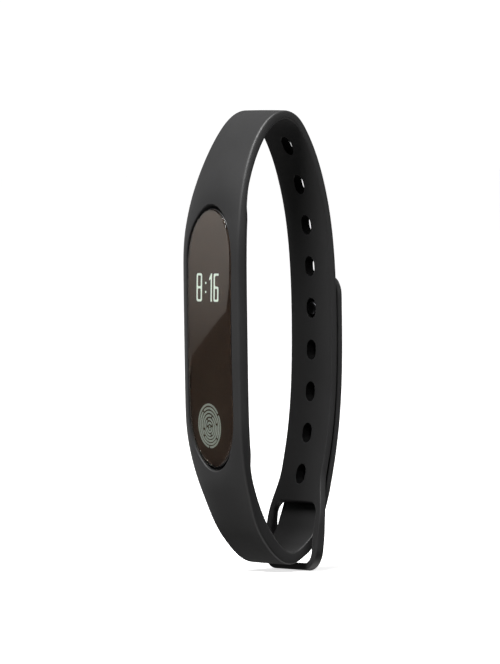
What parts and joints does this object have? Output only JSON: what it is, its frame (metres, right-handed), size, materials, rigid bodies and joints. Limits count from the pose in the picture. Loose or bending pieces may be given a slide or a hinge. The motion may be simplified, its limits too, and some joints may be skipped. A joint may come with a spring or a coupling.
{
  "type": "fitness tracker band",
  "caption": "Closed rubber wrist band with a push-out oval display capsule in its cradle, a row of oval holes, a keeper loop and a stud clasp on a tail that peels open.",
  "frame": {"origin": "centre of the wrist opening, halfway between the capsule and the back of the strap and halfway up the ring, on the band's plane of symmetry", "axes": "+X across the band, along the wrist; +Y from the display to the back of the wrist, so the display faces -Y; +Z along the band's long axis, with the keeper loop at -Z"},
  "size_m": [0.0166, 0.0231, 0.0767],
  "materials": {
    "strap_rubber": "soft matt thermoplastic rubber",
    "lens_glass": "smoked toughened glass",
    "shell_plastic": "satin moulded",
    "rear_plastic": "fine satin",
    "seal_rubber": "smooth silicone",
    "adhesive_film": "thin film",
    "clasp_metal": "black anodised",
    "sensor_glass": "dark clear plastic",
    "gilding": "gold plated",
    "display_black": "display stack",
    "display_light": "lit segments",
    "icon_ink": "printed mark",
    "copper_film": "copper foil",
    "flex_film": "amber flexible circuit",
    "board_green": "solder mask",
    "chip_plastic": "moulded package",
    "ceramic": "ceramic with tin ends",
    "cell_foil": "crinkled pouch foil",
    "nickel": "nickel strip",
    "foam": "foam",
    "led_green": "light source",
    "diode_dark": "photodiode",
    "baffle_plastic": "black",
    "motor_steel": "drawn can",
    "tungsten": "sintered weight"
  },
  "bodies": {
    "cradle": {"strap_cradle": "strap_rubber"},
    "upper_strap": {"strap_upper": "strap_rubber"},
    "keeper_strap": {"strap_keeper_loop": "strap_rubber"},
    "bottom_bend": {"strap_bottom": "strap_rubber"},
    "window_bend": {"strap_window_bend": "strap_rubber"},
    "tail": {"strap_tail": "strap_rubber"},
    "tail_tip": {"strap_tail_tip": "strap_rubber", "clasp_stud": "clasp_metal", "clasp_cap": "clasp_metal"},
    "capsule": {"display_lens": "lens_glass", "capsule_shell": "shell_plastic", "lens_adhesive": "adhesive_film", "seal_gasket": "seal_rubber", "rear_cover": "rear_plastic", "sensor_window": "sensor_glass", "charge_contacts": "gilding", "contact_springs": "gilding", "display_panel": "display_black", "display_digits": "display_light", "display_flex": "flex_film", "touch_icon": "icon_ink", "touch_pad": "copper_film", "touch_flex": "flex_film", "main_board": "board_green", "radio_chip": "chip_plastic", "memory_chip": "chip_plastic", "motion_sensor": "chip_plastic", "antenna_chip": "ceramic", "board_capacitors": "ceramic", "battery_cell": "cell_foil", "battery_tabs": "nickel", "battery_foam": "foam", "sensor_board": "board_green", "heart_leds": "led_green", "photodiode": "diode_dark", "light_baffle": "baffle_plastic", "vibration_motor": "motor_steel"},
    "motor_rotor": {"motor_weight": "tungsten"}
  },
  "joints": [
    {"name": "capsule_eject", "type": "slide", "parent": "cradle", "child": "capsule", "axis": [0, -1, 0], "range_m": [0, 0.012]},
    {"name": "top_flex", "type": "hinge", "parent": "cradle", "child": "upper_strap", "pos_m": [0, 0.00024, 0.03775], "axis": [1, 0, 0], "range_deg": [-2, 4], "stiffness_Nm_per_rad": 0.05},
    {"name": "back_flex", "type": "hinge", "parent": "upper_strap", "child": "keeper_strap", "pos_m": [0, 0.00961, 0.00865], "axis": [1, 0, 0], "range_deg": [-7.65, 3.83], "stiffness_Nm_per_rad": 0.02},
    {"name": "bottom_flex", "type": "hinge", "parent": "cradle", "child": "bottom_bend", "pos_m": [0, -0.00273, -0.03449], "axis": [1, 0, 0], "range_deg": [-3.05, 6.09], "stiffness_Nm_per_rad": 0.02},
    {"name": "window_flex", "type": "hinge", "parent": "bottom_bend", "child": "window_bend", "pos_m": [0, 0.00628, -0.03042], "axis": [1, 0, 0], "range_deg": [-9.73, 4.87], "stiffness_Nm_per_rad": 0.0005},
    {"name": "tail_peel", "type": "hinge", "parent": "window_bend", "child": "tail", "pos_m": [0, 0.00818, -0.02661], "axis": [-1, 0, 0], "range_deg": [0, 60], "stiffness_Nm_per_rad": 0.01, "springref_deg": -5.73},
    {"name": "tip_curl", "type": "hinge", "parent": "tail", "child": "tail_tip", "pos_m": [0, 0.01129, -0.00667], "axis": [-1, 0, 0], "range_deg": [0, 35], "stiffness_Nm_per_rad": 0.01, "springref_deg": -5.73},
    {"name": "motor_spin", "type": "hinge", "parent": "capsule", "child": "motor_rotor", "pos_m": [0.001, -0.00835, -0.0119], "axis": [1, 0, 0], "continuous": true}
  ],
  "couplings": [
    {"joint": "back_flex", "follows": "top_flex", "ratio": -1.91},
    {"joint": "bottom_flex", "follows": "top_flex", "ratio": 1.52},
    {"joint": "window_flex", "follows": "top_flex", "ratio": -2.43}
  ]
}
